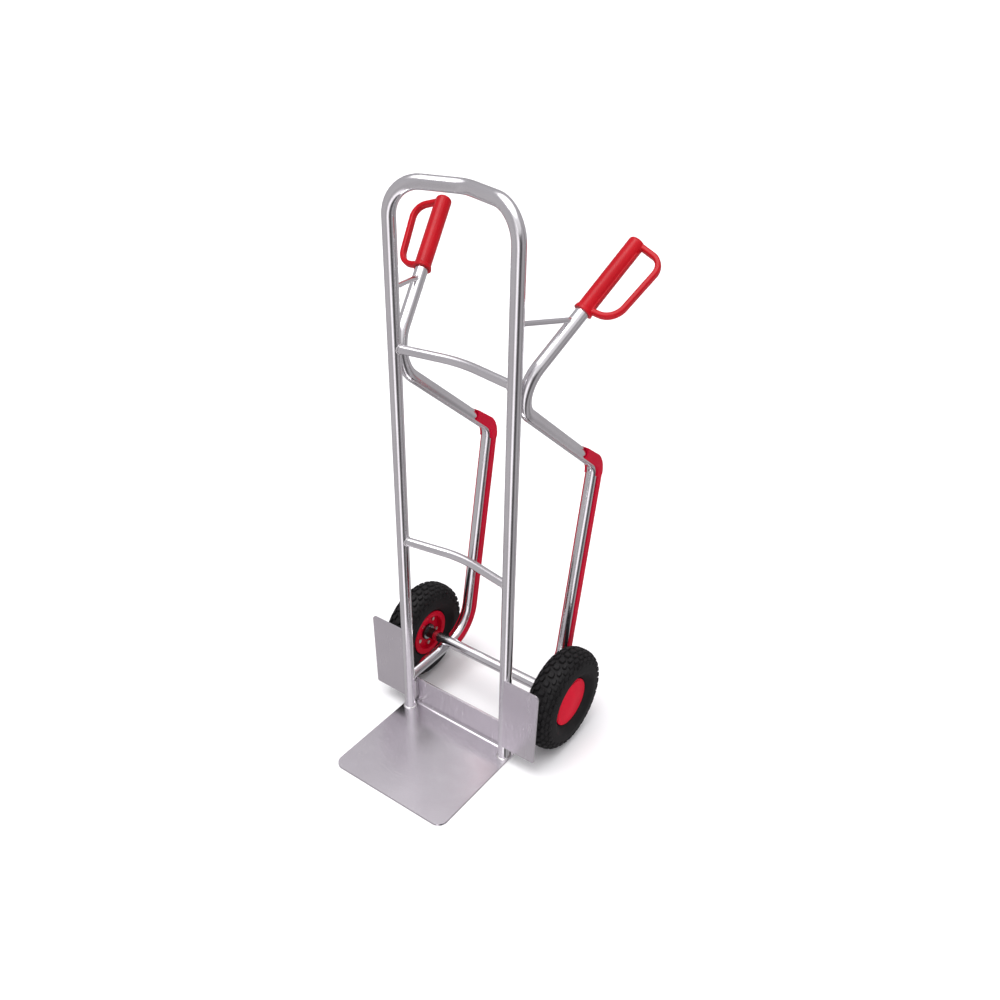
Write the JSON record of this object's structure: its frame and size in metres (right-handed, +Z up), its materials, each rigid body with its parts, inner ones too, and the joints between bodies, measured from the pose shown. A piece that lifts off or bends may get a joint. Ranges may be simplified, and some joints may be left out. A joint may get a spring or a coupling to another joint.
{
  "type": "hand truck",
  "caption": "Aluminium tube hand truck with a flat toe plate, curved stair skids, closed-guard hand grips, wheel guards and pneumatic wheels.",
  "frame": {"origin": "centre of the bounding box on the floor, midway between the toe plate front edge and the backs of the skids", "axes": "+X to the right seen from the toe plate side, +Y backwards from the toe plate to the skids, +Z up"},
  "size_m": [0.5902, 0.6086, 1.32],
  "materials": {
    "aluminium_tube": "polished",
    "aluminium_sheet": "satin",
    "axle_steel": "satin",
    "black_steel": "satin",
    "zinc_steel": "satin",
    "bearing_steel": "polished",
    "red_rim": "gloss",
    "red_grip": "satin",
    "red_skid": "satin",
    "black_plastic": "matte",
    "tyre_rubber": "matte",
    "tube_rubber": "matte"
  },
  "bodies": {
    "frame": {"axle": "axle_steel", "axle_tube": "aluminium_tube", "front_loop": "aluminium_tube", "left_axle_collar": "black_steel", "left_bearing_sleeve": "zinc_steel", "left_grip": "red_grip", "left_handle_brace": "aluminium_tube", "left_inner_bearing_inner_race": "bearing_steel", "left_outer_bearing_inner_race": "bearing_steel", "left_outer_washer": "zinc_steel", "left_rear_tube": "aluminium_tube", "left_skid": "red_skid", "left_split_pin": "zinc_steel", "left_wheel_guard": "aluminium_sheet", "lower_crossbar": "aluminium_tube", "right_axle_collar": "black_steel", "right_bearing_sleeve": "zinc_steel", "right_grip": "red_grip", "right_handle_brace": "aluminium_tube", "right_inner_bearing_inner_race": "bearing_steel", "right_outer_bearing_inner_race": "bearing_steel", "right_outer_washer": "zinc_steel", "right_rear_tube": "aluminium_tube", "right_skid": "red_skid", "right_split_pin": "zinc_steel", "right_wheel_guard": "aluminium_sheet", "toe_plate": "aluminium_sheet", "upper_crossbar": "aluminium_tube"},
    "left_wheel": {"left_tyre": "tyre_rubber", "left_hub": "black_steel", "left_inner_tube": "tube_rubber", "left_rim_inner_half": "red_rim", "left_rim_outer_half": "red_rim", "left_rim_bolts": "zinc_steel", "left_rim_nuts": "zinc_steel", "left_inner_bearing_outer_race": "bearing_steel", "left_inner_bearing_balls": "bearing_steel", "left_outer_bearing_outer_race": "bearing_steel", "left_outer_bearing_balls": "bearing_steel", "left_hub_cap": "red_rim", "left_valve_stem": "tube_rubber", "left_valve_cap": "black_plastic"},
    "right_wheel": {"right_tyre": "tyre_rubber", "right_hub": "black_steel", "right_inner_tube": "tube_rubber", "right_rim_inner_half": "red_rim", "right_rim_outer_half": "red_rim", "right_rim_bolts": "zinc_steel", "right_rim_nuts": "zinc_steel", "right_inner_bearing_outer_race": "bearing_steel", "right_inner_bearing_balls": "bearing_steel", "right_outer_bearing_outer_race": "bearing_steel", "right_outer_bearing_balls": "bearing_steel", "right_hub_cap": "red_rim", "right_valve_stem": "tube_rubber", "right_valve_cap": "black_plastic"}
  },
  "joints": [
    {"name": "left_wheel_spin", "type": "hinge", "parent": "frame", "child": "left_wheel", "pos_m": [-0.2125, 0.10272, 0.13], "axis": [1, 0, 0], "continuous": true},
    {"name": "right_wheel_spin", "type": "hinge", "parent": "frame", "child": "right_wheel", "pos_m": [0.2125, 0.10272, 0.13], "axis": [1, 0, 0], "continuous": true}
  ]
}
